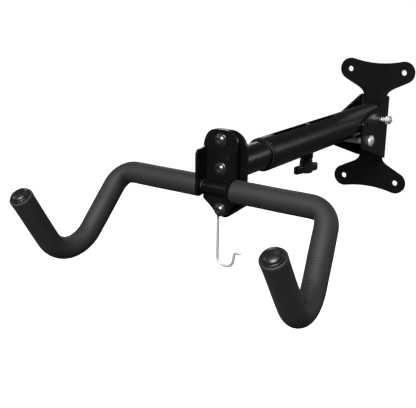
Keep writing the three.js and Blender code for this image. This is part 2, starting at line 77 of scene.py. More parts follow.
# The hook bar's line, from the middle of its crossbar: corners and the bends at them
ROD_RADIUS = 5 * MM
SHOULDER = Vector((116, 0, 0)) * MM
HOOK_BOTTOM = Vector((131, -68.3, -91.4)) * MM
HOOK_TIP = Vector((131, -126.7, 2.0)) * MM
SHOULDER_BEND = 21 * MM
BOTTOM_BEND = 32 * MM

# The wire hook's line, from the middle of the bolt it hangs on
WIRE_RADIUS = 1.4 * MM
EYE_RADIUS = 5.0 * MM
EYE_TURN = 1.62 * math.pi
WIRE_DROP = 57.5 * MM
WIRE_BEND = 7.8 * MM
WIRE_TIP_BEND = 2.2 * MM
WIRE_MOUTH = 17 * MM
WIRE_TIP = Vector((19.6, 0, 15)) * MM
WIRE_LIP = Vector((25.2, 0, 15.8)) * MM

# Fasteners: radius of the thread, radius and height of the head
M6, M6_HEAD, M6_HEAD_HEIGHT = 3 * MM, 5.25 * MM, 3.3 * MM
M8, M8_HEAD, M8_HEAD_HEIGHT = 4 * MM, 7 * MM, 4.4 * MM
M6_FLANGE = 6.4 * MM
M8_PITCH = 1.25  # as a share of an M6 thread's pitch
HEAD_RIM = 0.9 * MM  # straight edge of a button head, under its dome
EASE = 0.2 * MM  # rounding where a head's underside meets its rim
SOCKET_DEPTH = 1.9 * MM
THREAD_DEPTH = 0.45 * MM
THREAD_LEAD = 0.5 * MM  # from the tip to the first ridge, and from the last ridge to the shank
MERGE = 0.001 * MM  # points closer than this are one

PLATE = 2.5 * MM  # thickness of the steel plates
FOAM_GAP = 0.3 * MM  # between the rod and the foam's bore

# The clamp knob's wings
WING = Vector((17.5, 7.4, 9.6)) * MM
WING_MIDDLE = Vector((10.4, 0, 4.9)) * MM
WING_TAPER = 0.82
WING_CORNER = 2.2 * MM
WING_TURN = math.pi / 2.3

# The foam's folds: how far they reach along a lined stretch and past a bend, and how far a
# lined stretch's middle lies from the bend it belongs to
LINED_REACH = 11 * MM
LINED_FROM_BEND = 13 * MM
PRESSED_REACH = 6 * MM

# The foam's ends: how far they roll in, and how far the tip's end spreads over the cap
ROLL_DEPTH, ROLL_REACH = 0.9 * MM, 1.6 * MM
FLARE, FLARE_REACH = 0.3 * MM, 5 * MM

# The foam is never quite even: how much it swells and shrinks, and how fast along its run
UNEVEN, UNEVEN_PACE = 0.06 * MM, 130
FOLD_WANDER_PACE = 410

# An end cap's crown: its radius, where it starts above the cap's seat, and how far it rises
CROWN_RADIUS, CROWN_BASE, CROWN_RISE = 7.95 * MM, 1.5 * MM, 3.1 * MM

# The camera: its place, where it points, its tilt and its lens in millimetres
CAMERA_PLACE = Vector((0.3779, -0.9459, 0.1879))
CAMERA_TURN = math.radians(34.16)
CAMERA_LIFT = math.radians(16.77)
CAMERA_ROLL = math.radians(0.8)
CAMERA_LENS, CAMERA_SENSOR = 65.52, 36

# The stage: how far the floor lies below the object, and how far off the backdrop stands
FLOOR_DROP = 0.6
STAGE_RADIUS = 10

# How far below the hook's tip each piece there ends or starts
CAP_HEIGHT = 4.6 * MM
SLEEVE_END = 4.9 * MM
ROD_END = 2.5 * MM


def middle(node):
    """Middle of a node's box."""
    low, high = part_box(node)
    return (low + high) / 2


def spans(node):
    """Lengths of a node's box along x, y and z."""
    low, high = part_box(node)
    return high - low


BAR = Vector((0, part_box("hook_bar")[1].y - ROD_RADIUS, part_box("hook_bar")[1].z - ROD_RADIUS))
SLEEVE_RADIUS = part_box("pad_right")[1].z - BAR.z
BODY_OF = {
    node: body for body, nodes in frame["record"]["behaviour"]["bodies"].items() for node in nodes
}


# ------------------------------------------------------------------ sizes and colours


class RackSizes(bpy.types.PropertyGroup):
    """Sizes of the finishing touches on the rack."""

    plate_edge: FloatProperty(
        name="Plate edge", description="Rounding along the cut edges of the steel plates",
        default=0.6 * MM, min=0.0, unit="LENGTH",
    )
    tube_edge: FloatProperty(
        name="Tube edge", description="Rounding along the cut edges of the tubes",
        default=0.3 * MM, min=0.0, unit="LENGTH",
    )
    weld_bead: FloatProperty(
        name="Weld bead", description="Radius of the weld beads",
        default=1.5 * MM, min=0.0, unit="LENGTH",
    )
    fold_depth: FloatProperty(
        name="Fold depth", description="Depth of the foam's folds inside its bends",
        default=0.5 * MM, min=0.0, unit="LENGTH",
    )
    fold_pitch: FloatProperty(
        name="Fold pitch", description="Distance from one fold of the foam to the next",
        default=2.6 * MM, min=0.5 * MM, unit="LENGTH",
    )
    thread_pitch: FloatProperty(
        name="Thread pitch", description="Distance from one thread ridge to the next",
        default=1.0 * MM, min=0.3 * MM, unit="LENGTH",
    )


class RackColours(bpy.types.PropertyGroup):
    """Colours of the rack's finishes."""

    coat: FloatVectorProperty(
        name="Coat", description="Powder coat on the steel",
        default=(0.0028, 0.0028, 0.0032), subtype="COLOR", min=0.0, max=1.0,
    )
    bolt: FloatVectorProperty(
        name="Black bolts", description="Blackened bolts, nuts and washers",
        default=(0.085, 0.085, 0.088), subtype="COLOR", min=0.0, max=1.0,
    )
    zinc: FloatVectorProperty(
        name="Zinc", description="Bright zinc plating",
        default=(0.78, 0.79, 0.8), subtype="COLOR", min=0.0, max=1.0,
    )
    foam: FloatVectorProperty(
        name="Foam", description="Foam sleeves on the hooks",
        default=(0.0155, 0.0157, 0.0148), subtype="COLOR", min=0.0, max=1.0,
    )
    cap: FloatVectorProperty(
        name="End caps", description="Glossy plastic caps on the hooks' tips",
        default=(0.006, 0.006, 0.007), subtype="COLOR", min=0.0, max=1.0,
    )
    knob: FloatVectorProperty(
        name="Knob", description="Moulded clamp knob",
        default=(0.012, 0.012, 0.013), subtype="COLOR", min=0.0, max=1.0,
    )
    floor: FloatVectorProperty(
        name="Floor", description="Studio floor",
        default=(0.9, 0.9, 0.9), subtype="COLOR", min=0.0, max=1.0,
    )


# ------------------------------------------------------------------ finishes


class Signal:
    """A node's output that takes part in arithmetic, adding a Math node for each operation."""

    def __init__(self, finish, socket):
        self.finish = finish
        self.socket = socket

    def combined(self, operation, first, second):
        """A Math node's result."""
        made = self.finish.node("ShaderNodeMath", {"operation": operation}, {0: first, 1: second})
        return Signal(self.finish, made.outputs[0])

    def __add__(self, other):
        return self.combined("ADD", self, other)

    def __radd__(self, other):
        return self.combined("ADD", other, self)

    def __sub__(self, other):
        return self.combined("SUBTRACT", self, other)

    def __mul__(self, other):
        return self.combined("MULTIPLY", self, other)

    def __rmul__(self, other):
        return self.combined("MULTIPLY", other, self)

    def wave(self):
        """Sine of the signal."""
        return self.combined("SINE", self, 0.0)


class Finish:
    """A material under construction, on its piece's own coordinates."""

    def __init__(self, name):
        self.material = bpy.data.materials.new(name)
        self.material.use_nodes = True
        self.tree = self.material.node_tree
        self.tree.nodes.clear()
        place = self.node("ShaderNodeTexCoord")
        centred = self.node(
            "ShaderNodeMapping", {"vector_type": "POINT"},
            {"Vector": Signal(self, place.outputs["Object"])},
        )
        self.place = Signal(self, centred.outputs["Vector"])

    def node(self, kind, settings=None, inputs=None):
        """A new node: its settings first, then the values or links of its sockets."""
        made = self.tree.nodes.new(kind)
        for key, value in (settings or {}).items():
            if key == "stops":
                for stop, (position, level) in zip(made.color_ramp.elements, value):
                    stop.position = position
                    stop.color = (level, level, level, 1)
            else:
                setattr(made, key, value)
        for key, value in (inputs or {}).items():
            if isinstance(value, Signal):
                self.tree.links.new(value.socket, made.inputs[key])
            else:
                made.inputs[key].default_value = value
        return made

    def noise(self, scale, detail=2.0, roughness=0.5):
        """Cloudy noise from 0 to 1, with scale features a metre."""
        made = self.node(
            "ShaderNodeTexNoise", {"noise_dimensions": "3D"},
            {"Vector": self.place, "Scale": scale, "Detail": detail, "Roughness": roughness},
        )
        return Signal(self, made.outputs[0])

    def cells(self, scale):
        """Distance to the nearest cell centre, with scale cells a metre."""
        made = self.node(
            "ShaderNodeTexVoronoi", {"feature": "F1"}, {"Vector": self.place, "Scale": scale}
        )
        return Signal(self, made.outputs["Distance"])

    def ramp(self, signal, start, end):
        """0 below start and 1 above end, with a straight rise between."""
        made = self.node(
            "ShaderNodeMapRange", {"clamp": True},
            {"Value": signal, "From Min": start, "From Max": end},
        )
        return Signal(self, made.outputs["Result"])

    def attribute(self, name):
        """A number kept on the piece's own points."""
        made = self.node("ShaderNodeAttribute", {"attribute_type": "GEOMETRY", "attribute_name": name})
        return Signal(self, made.outputs["Fac"])

    def blend(self, factor, first, second):
        """One colour turning into another."""
        made = self.node(
            "ShaderNodeMix", {"data_type": "RGBA"}, {0: factor, 6: (*first, 1), 7: (*second, 1)}
        )
        return Signal(self, made.outputs[2])

    def surface(self, colour, roughness, height, depth, **fixed):
        """Ends the material: a shader with colour, roughness, relief and fixed sockets."""
        bump = self.node(
            "ShaderNodeBump", None, {"Strength": 1.0, "Distance": depth, "Height": height}
        )
        sockets = {name.replace("_", " "): value for name, value in fixed.items()}
        shader = self.node(
            "ShaderNodeBsdfPrincipled", None,
            {
                "Base Color": colour, "Roughness": roughness,
                "Normal": Signal(self, bump.outputs["Normal"]), **sockets,
            },
        )
        end = self.node("ShaderNodeOutputMaterial")
        self.tree.links.new(shader.outputs[0], end.inputs["Surface"])
        return self.material


def shade(colour, factor):
    """A colour made darker or lighter."""
    return tuple(min(1.0, part * factor) for part in colour)


def black_coat(colour):
    """Satin black powder coat, with the faint pebbled skin it cures to and a little dust."""
    f = Finish("black_coat")
    pebbles = f.noise(950, 2.0, 0.45)
    clouds = f.noise(55, 3.0)
    dust = f.ramp(f.noise(420, 4.0, 0.7), 0.66, 0.8)
    base = f.blend(clouds * 0.6 + dust * 0.25, shade(colour, 0.75), shade(colour, 2.1))
    rough = 0.24 + 0.12 * clouds + 0.12 * dust
    return f.surface(base, rough, pebbles, 0.02 * MM, Specular_IOR_Level=0.5)


def black_bolt(colour):
    """Blackened steel, slightly oily, rubbed a little on its high spots."""
    f = Finish("black_bolt")
    clouds = f.noise(240, 3.0)
    grain = f.noise(2600, 2.0)
    base = f.blend(clouds, shade(colour, 0.8), shade(colour, 1.9))
    return f.surface(base, 0.22 + 0.12 * clouds, grain, 0.008 * MM, Metallic=0.85)


def bright_zinc(colour):
    """Zinc plating, bright with faint milky patches and drawing marks."""
    f = Finish("bright_zinc")
    patches = f.noise(130, 3.0)
    grain = f.noise(1900, 3.0)
    base = f.blend(patches, shade(colour, 0.82), shade(colour, 1.12))
    return f.surface(base, 0.3 + 0.16 * patches, grain, 0.01 * MM, Metallic=0.55)


def foam_skin(colour, pitch):
    """Charcoal foam: a matte skin of closed cells, with fine folds where the sleeve is bent, and
    painted shade darkening the folds' creases.
    """
    f = Finish("foam_skin")
    pores = f.cells(1500)
    grain = f.noise(2400, 3.0, 0.6)
    clouds = f.noise(42, 3.0)
    folds = f.attribute("folds")
    wander = f.noise(160, 2.0)
    lines = (f.attribute("run") * (2 * math.pi / pitch) + wander * 5.0).wave()
    creases = f.ramp(lines, 0.35, 1.0) * folds
    base = f.blend(clouds * 0.55 + grain * 0.3, shade(colour, 0.72), shade(colour, 1.35))
    # painted shade: the colour turns darker in the creases of the folds, where shade would fall
    painted_crease_shade = f.node(
        "ShaderNodeMix", {"data_type": "RGBA"},
        {0: creases * 0.55, 6: base, 7: (*shade(colour, 0.35), 1)},
    )
    relief = pores * 0.35 + grain * 0.35 - creases * 1.6
    return f.surface(
        Signal(f, painted_crease_shade.outputs[2]), 0.6 + 0.12 * clouds, relief, 0.11 * MM,
        Sheen_Weight=0.03, Sheen_Roughness=0.45, Specular_IOR_Level=0.5,
    )


def gloss_plastic(colour):
    """Glossy moulded plastic with faint flow clouds and hair scratches."""
    f = Finish("gloss_plastic")
    clouds = f.noise(90, 2.0)
    fine = f.noise(1500, 2.0)
    base = f.blend(clouds, shade(colour, 0.8), shade(colour, 1.5))
    return f.surface(base, 0.32 + 0.08 * clouds, fine, 0.006 * MM, Specular_IOR_Level=0.55)


def knob_plastic(colour):
    """Moulded plastic with an even spark-textured skin."""
    f = Finish("knob_plastic")
    sparks = f.noise(2100, 3.0, 0.6)
    clouds = f.noise(120, 2.0)
    base = f.blend(clouds, shade(colour, 0.75), shade(colour, 1.6))
    return f.surface(base, 0.42 + 0.12 * clouds, sparks, 0.05 * MM)


def nylon(colour):
    """Smooth dark bearing plastic with faint turning marks."""
    f = Finish("nylon")
    clouds = f.noise(150, 2.0)
    fine = f.noise(1200, 2.0)
    base = f.blend(clouds, shade(colour, 0.8), shade(colour, 1.7))
    return f.surface(base, 0.36 + 0.1 * clouds, fine, 0.02 * MM)


def material_for(slot):
    """The finish of one of the record's material slots, made the first time it is needed."""
    found = bpy.data.materials.get("finish_" + slot)
    if found:
        return found
    colours = bpy.context.scene.rack_colours
    sizes = bpy.context.scene.rack_sizes
    made = {
        "black_coat": lambda: black_coat(colours.coat),
        "black_bolt": lambda: black_bolt(colours.bolt),
        "zinc": lambda: bright_zinc(colours.zinc),
        "foam": lambda: foam_skin(colours.foam, sizes.fold_pitch),
        "gloss_plastic": lambda: gloss_plastic(colours.cap),
        "knob_plastic": lambda: knob_plastic(colours.knob),
        "nylon": lambda: nylon(colours.cap),
    }[slot]()
    made.name = "finish_" + slot
    return made


# ------------------------------------------------------------------ bench tools


def placed(bm, name, slot, nodes, body=None, sharp=35):
    """Turns a bmesh into a piece that has its finish, rides on its body and stands for nodes."""
    mesh = bpy.data.meshes.new(name)
    bm.to_mesh(mesh)
    bm.free()
    mesh.shade_smooth()
    mesh.set_sharp_from_angle(angle=math.radians(sharp))
    mesh.materials.append(material_for(slot))
    piece = bpy.data.objects.new(name, mesh)
    bpy.context.scene.collection.objects.link(piece)
    if nodes:
        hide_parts(*nodes)
    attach(piece, body or BODY_OF[nodes[0]])
    return piece


def softened(node, slot, edge, name=None, segments=2):
    """A copy of a node's shape, merged and with its cut edges rounded."""
    bm = bmesh.new()
    bm.from_mesh(frame["nodes"][node].data)
    bmesh.ops.remove_doubles(bm, verts=bm.verts, dist=0.002 * MM)
    bmesh.ops.dissolve_limit(
        bm, angle_limit=math.radians(0.4), verts=bm.verts, edges=bm.edges,
        use_dissolve_boundaries=False, delimit=set(),
    )
    piece = placed(bm, name or node + "_finished", slot, [node])
    rounding = piece.modifiers.new("Rounded edges", "BEVEL")
    rounding.limit_method = "ANGLE"
    rounding.angle_limit = math.radians(32)
    rounding.width = edge
    rounding.segments = segments
    rounding.harden_normals = True
    return piece


def aimed(direction, place):
    """The matrix that turns +Z to a direction and moves the origin to a place."""
    turn = Z.rotation_difference(direction).to_matrix().to_4x4()
    return Matrix.Translation(place) @ turn


def turned(bm, profile, direction, place, segments=48):
    """Spins a profile of radii and heights into a closed round shape along a direction."""
    points = [bm.verts.new((radius, 0, height)) for radius, height in profile]
    lines = [bm.edges.new(pair) for pair in zip(points, points[1:])]
    before = set(bm.faces)
    bmesh.ops.spin(
        bm, geom=points + lines, cent=(0, 0, 0), axis=Z, dvec=(0, 0, 0), angle=2 * math.pi,
        steps=segments, use_merge=True, use_normal_flip=False, use_duplicate=False,
    )
    faces = [face for face in bm.faces if face not in before]
    verts = list({vert for face in faces for vert in face.verts})
    bmesh.ops.remove_doubles(bm, verts=verts, dist=MERGE)
    verts = [vert for vert in verts if vert.is_valid]
    bmesh.ops.transform(bm, matrix=aimed(direction, place), verts=verts)
    faces = list({face for vert in verts for face in vert.link_faces})
    bmesh.ops.recalc_face_normals(bm, faces=faces)
    return verts


def thread(radius, start, end, pitch):
    """Profile points of thread ridges from one height to another."""
    ridges = max(1, int(abs(end - start) / pitch))
    step = (end - start) / ridges
    root = radius - THREAD_DEPTH
    points = []
    for i in range(ridges):
        base = start + i * step
        points += [(root, base), (radius, base + 0.42 * step), (radius, base + 0.58 * step)]
    return [*points, (root, end)]


def shank(radius, threaded, under, pitch):
    """Profile points of a bolt from its tip, over its thread, to the underside of its head."""
    return [
        (0, 0), (0.75 * radius, 0), *thread(radius, THREAD_LEAD, threaded, pitch),
        (radius, threaded + THREAD_LEAD), (radius, under),
    ]


def head_rim(radius, under):
    """Profile points up the straight edge of a button head."""
    return [(radius - EASE, under), (radius, under + EASE), (radius, under + HEAD_RIM)]


def dome(radius, base, rise, inner, steps=8):
    """Profile points over a dome, from its rim to an inner radius."""
    points = []
    for i in range(1, steps + 1):
        angle = math.pi / 2 * i / steps
        reach, height = radius * math.cos(angle), base + rise * math.sin(angle)
        if reach <= inner + 0.05 * MM:
            break
        points.append((reach, height))
    return [*points, (inner, base + rise)]


def socket_head(bm, profile, socket, depth, direction, place, segments=48):
    """A turned bolt whose head ends in a hexagonal socket. The profile ends at the head's face."""
    start = len(bm.verts)
    top = profile[-1][1]
    points = [bm.verts.new((radius, 0, height)) for radius, height in profile]
    lines = [bm.edges.new(pair) for pair in zip(points, points[1:])]
    bmesh.ops.spin(
        bm, geom=points + lines, cent=(0, 0, 0), axis=Z, dvec=(0, 0, 0), angle=2 * math.pi,
        steps=segments, use_merge=True, use_normal_flip=False, use_duplicate=False,
    )
    bm.verts.ensure_lookup_table()
    bmesh.ops.remove_doubles(bm, verts=bm.verts[start:], dist=MERGE)
    rim = [edge for edge in bm.edges if edge.is_boundary and edge.verts[0].co.z > top - 1e-7]
    for drop in (0.0, depth):
        made = bmesh.ops.extrude_edge_only(bm, edges=rim)
        verts = [item for item in made["geom"] if isinstance(item, bmesh.types.BMVert)]
        rim = [item for item in made["geom"] if isinstance(item, bmesh.types.BMEdge)]
        rim = [edge for edge in rim if edge.is_boundary]
        for vert in verts:
            angle = math.atan2(vert.co.y, vert.co.x) % (math.pi / 3) - math.pi / 6
            reach = socket / math.cos(angle)
            flat = Vector((vert.co.x, vert.co.y, 0)).normalized() * reach
            vert.co = Vector((flat.x, flat.y, top - drop))
    bmesh.ops.edgeloop_fill(bm, edges=rim)
    bm.verts.ensure_lookup_table()
    bmesh.ops.transform(bm, matrix=aimed(direction, place), verts=bm.verts[start:])
    bmesh.ops.recalc_face_normals(bm, faces=bm.faces)


def ring_edges(verts):
    """The edges that join a ring's points."""
    ring = set(verts)
    edges = {edge for vert in verts for edge in vert.link_edges}
    return [edge for edge in edges if edge.verts[0] in ring and edge.verts[1] in ring]


class Bender:
    """Draws a ring along straight lines and bends, as a tube bender feeds a tube."""

    def __init__(self, bm, place, heading, radius, sides):
        self.bm = bm
        self.radius = radius
        self.place = Vector(place)
        self.heading = Vector(heading).normalized()
        made = bmesh.ops.create_circle(
            bm, cap_ends=False, radius=radius, segments=sides, matrix=aimed(self.heading, self.place)
        )
        self.verts = made["verts"]
        self.edges = ring_edges(self.verts)
        self.run = 0.0
        self.rings = []
        self.keep()

    def keep(self):
        """Remembers the newest ring: how far along it is, its middle and its points."""
        self.rings.append((self.run, self.place.copy(), self.heading.copy(), list(self.verts)))

    def advance(self, made):
        """Takes the newest ring from what an operator made."""
        self.verts = [item for item in made if isinstance(item, bmesh.types.BMVert)]
        self.edges = ring_edges(self.verts)
        self.keep()

    def straight(self, length, step):
        """A straight stretch."""
        count = max(1, round(length / step))
        for _ in range(count):
            made = bmesh.ops.extrude_edge_only(self.bm, edges=self.edges)["geom"]
            verts = [item for item in made if isinstance(item, bmesh.types.BMVert)]
            bmesh.ops.translate(self.bm, vec=self.heading * (length / count), verts=verts)
            self.place += self.heading * (length / count)
            self.run += length / count
            self.advance(made)

    def bend(self, side, radius, angle, step):
        """A bend towards a side."""
        count = max(2, round(radius * angle / step))
        centre = self.place + side * radius
        axis = self.heading.cross(side).normalized()
        for _ in range(count):
            made = bmesh.ops.spin(
                self.bm, geom=self.verts + self.edges, cent=centre, axis=axis, dvec=(0, 0, 0),
                angle=angle / count, steps=1, use_merge=False, use_normal_flip=False,
                use_duplicate=False,
            )["geom_last"]
            turn = Matrix.Rotation(angle / count, 3, axis)
            self.place = centre + turn @ (self.place - centre)
            self.heading = (turn @ self.heading).normalized()
            self.run += radius * angle / count
            self.advance(made)

    def follow(self, corners, bends, step, bend_step):
        """Straight stretches through the corners, with each inner corner bent round.
        Gives each bend's start and end along the run, and its side at both."""
        found = []
        for i, corner in enumerate(corners):
            out = corners[i + 1] - corner if i + 1 < len(corners) else None
            if out is None:
                self.straight((corner - self.place).length, step)
                continue
            out = out.normalized()
            turn = self.heading.angle(out)
            cut = bends[i] * math.tan(turn / 2)
            self.straight((corner - self.place).length - cut, step)
            side = (out - self.heading * out.dot(self.heading)).normalized()
            axis = self.heading.cross(side)
            start = self.run
            self.bend(side, bends[i], turn, bend_step)
            found.append((start, self.run, side, Matrix.Rotation(turn, 3, axis) @ side))
        return found

    def close_end(self, dome=0.0):
        """Closes the newest ring."""
        self.close(self.rings[-1], 1, dome)

    def close_start(self, dome=0.0):
        """Closes the first ring."""
        self.close(self.rings[0], -1, dome)

    def close(self, ring, way, dome):
        """Closes a ring, over a small dome if one is asked for."""
        _, place, heading, verts = ring
        edges = ring_edges(verts)
        for share, shrink in ((0.5, 0.87), (0.36, 0.58)) if dome else ():
            made = bmesh.ops.extrude_edge_only(self.bm, edges=edges)["geom"]
            step = heading * way * dome * share
            place = place + step
            verts = [item for item in made if isinstance(item, bmesh.types.BMVert)]
            for vert in verts:
                vert.co = place + (vert.co + step - place).normalized() * self.radius * shrink
            edges = ring_edges(verts)
        bmesh.ops.edgeloop_fill(self.bm, edges=edges)


def weld(name, centre, axis, radius, bead, body):
    """A ring of weld, with the even ripples it sets in."""
    bm = bmesh.new()
    made = bmesh.ops.create_circle(
        bm, cap_ends=False, radius=bead, segments=12,
        matrix=Matrix.Translation((radius, 0, 0)) @ Matrix.Rotation(math.pi / 2, 4, "X"),
    )
    edges = list({edge for vert in made["verts"] for edge in vert.link_edges})
    bmesh.ops.spin(
        bm, geom=made["verts"] + edges, cent=(0, 0, 0), axis=Z, dvec=(0, 0, 0),
        angle=2 * math.pi, steps=144, use_merge=True, use_normal_flip=False, use_duplicate=False,
    )
    bmesh.ops.remove_doubles(bm, verts=bm.verts, dist=MERGE)
    for vert in bm.verts:
        angle = math.atan2(vert.co.y, vert.co.x)
        core = Vector((vert.co.x, vert.co.y, 0)).normalized() * radius
        ripple = 1 + 0.1 * math.sin(26 * angle) + 0.06 * math.sin(7 * angle + 1)
        vert.co = core + (vert.co - core) * ripple
    bmesh.ops.recalc_face_normals(bm, faces=bm.faces)
    bmesh.ops.transform(bm, matrix=aimed(axis, centre), verts=bm.verts)
    return placed(bm, name, "black_coat", [], body)


# ------------------------------------------------------------------ operators


class RackOperator:
    """What every step of the build shares."""

    bl_options = {"REGISTER", "UNDO"}


class RACK_OT_stage(RackOperator, bpy.types.Operator):
    """Sets up the pale floor, the soft lights and the camera"""

    bl_idname = "rack.stage"
    bl_label = "Stage"

    def execute(self, context):
        scene = context.scene
        scene.view_settings.view_transform = "Standard"
        self.floor(scene)
        self.lights(scene)
        self.camera(scene)
        return {"FINISHED"}

    def floor(self, scene):
        """A wide pale floor under the object and an equally pale backdrop round it."""
        f = Finish("floor")
        mottle = f.noise(1.5, 2.0)
        base = f.blend(mottle, shade(scene.rack_colours.floor, 0.995), scene.rack_colours.floor)
        paper = f.surface(
            base, 0.9 + 0.02 * mottle, mottle, 0.1 * MM,
            Emission_Color=(1, 1, 1, 1), Emission_Strength=1.0,
        )
        for name, depth in (("floor", 0), ("backdrop", 2 * STAGE_RADIUS)):
            bm = bmesh.new()
            bmesh.ops.create_cone(
                bm, cap_ends=not depth, cap_tris=False, segments=96, radius1=STAGE_RADIUS,
                radius2=STAGE_RADIUS if depth else 0, depth=depth,
            )
            bmesh.ops.translate(bm, vec=(0, 0, CAD_BOX[0].z - FLOOR_DROP), verts=bm.verts)
            mesh = bpy.data.meshes.new(name)
            bm.to_mesh(mesh)
            bm.free()
            mesh.materials.append(paper)
            sheet = bpy.data.objects.new(name, mesh)
            sheet.visible_diffuse = False
            sheet.visible_glossy = False
            sheet.visible_shadow = False
            scene.collection.objects.link(sheet)

    def lights(self, scene):
        """Soft boxes round the object and an even pale surround."""
        world = bpy.data.worlds.new("surround")
        world.use_nodes = True
        surround = world.node_tree.nodes["Background"]
        surround.inputs["Color"].default_value = (1, 1, 1, 1)
        surround.inputs["Strength"].default_value = 0.06
        scene.world = world
        middle_of_rack = (CAD_BOX[0] + CAD_BOX[1]) / 2
        for name, place, width, power in (
            ("key", (0.42, -1.9, 1.25), 0.9, 62),
            ("left", (-1.7, -1.4, 0.9), 0.9, 5),
            ("top", (-0.2, 0.1, 2.1), 0.9, 3),
            ("rear left", (-1.5, 1.5, 0.9), 0.9, 9),
            ("rear right", (1.7, 1.5, 0.8), 0.9, 9),
        ):
            lamp = bpy.data.lights.new(name, "AREA")
            lamp.shape = "DISK"
            lamp.size = width
            lamp.energy = power
            holder = bpy.data.objects.new(name, lamp)
            holder.location = place
            aim = (middle_of_rack - Vector(place)).to_track_quat("-Z", "Y")
            holder.rotation_mode = "QUATERNION"
            holder.rotation_quaternion = aim
            scene.collection.objects.link(holder)

    def camera(self, scene):
        """A camera in front of the rack, to its right and a little above."""
        right = Vector((math.cos(CAMERA_TURN), math.sin(CAMERA_TURN), 0))
        back = right.cross(Z) * math.cos(CAMERA_LIFT) + Z * math.sin(CAMERA_LIFT)
        up = back.cross(right)
        across = right * math.cos(CAMERA_ROLL) + up * math.sin(CAMERA_ROLL)
        upright = up * math.cos(CAMERA_ROLL) - right * math.sin(CAMERA_ROLL)
        lens = bpy.data.cameras.new("camera")
        lens.lens = CAMERA_LENS
        lens.sensor_width = CAMERA_SENSOR
        holder = bpy.data.objects.new("camera", lens)
        axes = Matrix((across, upright, back)).transposed().to_4x4()
        holder.matrix_world = Matrix.Translation(CAMERA_PLACE) @ axes
        scene.collection.objects.link(holder)
        scene.camera = holder


class RACK_OT_wall_bracket(RackOperator, bpy.types.Operator):
    """Finishes the wall plate with its two folded ears"""

    bl_idname = "rack.wall_bracket"
    bl_label = "Wall bracket"

    def execute(self, context):
        sizes = context.scene.rack_sizes
        softened("wall_plate", "black_coat", sizes.plate_edge)
        return {"FINISHED"}


class RACK_OT_pivot(RackOperator, bpy.types.Operator):
    """Makes the pivot bolt with its thread, nut and washer"""

    bl_idname = "rack.pivot"
    bl_label = "Pivot bolt"

    def execute(self, context):
        pitch = context.scene.rack_sizes.thread_pitch
        place = middle("pivot_bolt")
        place.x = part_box("pivot_bolt")[1].x
        under = spans("pivot_bolt").x - M6_HEAD_HEIGHT
        plain = 20 * MM  # the shank's reach to the left of the plate's middle
        profile = [
            *shank(M6, place.x - plain, under, pitch), *head_rim(M6_HEAD, under),
            *dome(M6_HEAD, under + HEAD_RIM, M6_HEAD_HEIGHT - HEAD_RIM, 2.5 * MM),
        ]
        bm = bmesh.new()
        socket_head(bm, profile, 2.0 * MM, SOCKET_DEPTH, -X, place)
        placed(bm, "pivot_bolt_finished", "zinc", ["pivot_bolt"])
        softened("pivot_nut", "zinc", 0.35 * MM, segments=3)
        softened("pivot_washer", "zinc", 0.2 * MM)
        return {"FINISHED"}


class RACK_OT_stop(RackOperator, bpy.types.Operator):
    """Makes the stop bolt that the arm rests on, with its sleeve, nut and washer"""

    bl_idname = "rack.stop"
    bl_label = "Stop bolt"

    def execute(self, context):
        pitch = context.scene.rack_sizes.thread_pitch * M8_PITCH
        threaded = 16 * MM
        place = middle("stop_bolt")
        place.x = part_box("stop_bolt")[0].x
        under = spans("stop_bolt").x - M8_HEAD_HEIGHT
        profile = [
            *shank(M8, threaded, under, pitch), *head_rim(M8_HEAD, under),
            *dome(M8_HEAD, under + HEAD_RIM, M8_HEAD_HEIGHT - HEAD_RIM, 0),
        ]
        bm = bmesh.new()
        turned(bm, profile, X, place)
        placed(bm, "stop_bolt_finished", "zinc", ["stop_bolt"])
        for node, edge in (("stop_sleeve", 0.3), ("stop_washer", 0.2), ("stop_nut", 0.4)):
            softened(node, "zinc", edge * MM, segments=3)
        return {"FINISHED"}


class RACK_OT_outer_arm(RackOperator, bpy.types.Operator):
    """Finishes the slotted outer tube, its cross sleeve, bush and screw boss"""

    bl_idname = "rack.outer_arm"
    bl_label = "Outer arm"

    def execute(self, context):
        sizes = context.scene.rack_sizes
        softened("outer_tube", "black_coat", sizes.tube_edge)
        softened("pivot_sleeve", "black_coat", sizes.tube_edge)
        softened("tube_bush", "nylon", 0.25 * MM, segments=3)
        softened("clamp_boss", "black_coat", sizes.tube_edge)
        return {"FINISHED"}


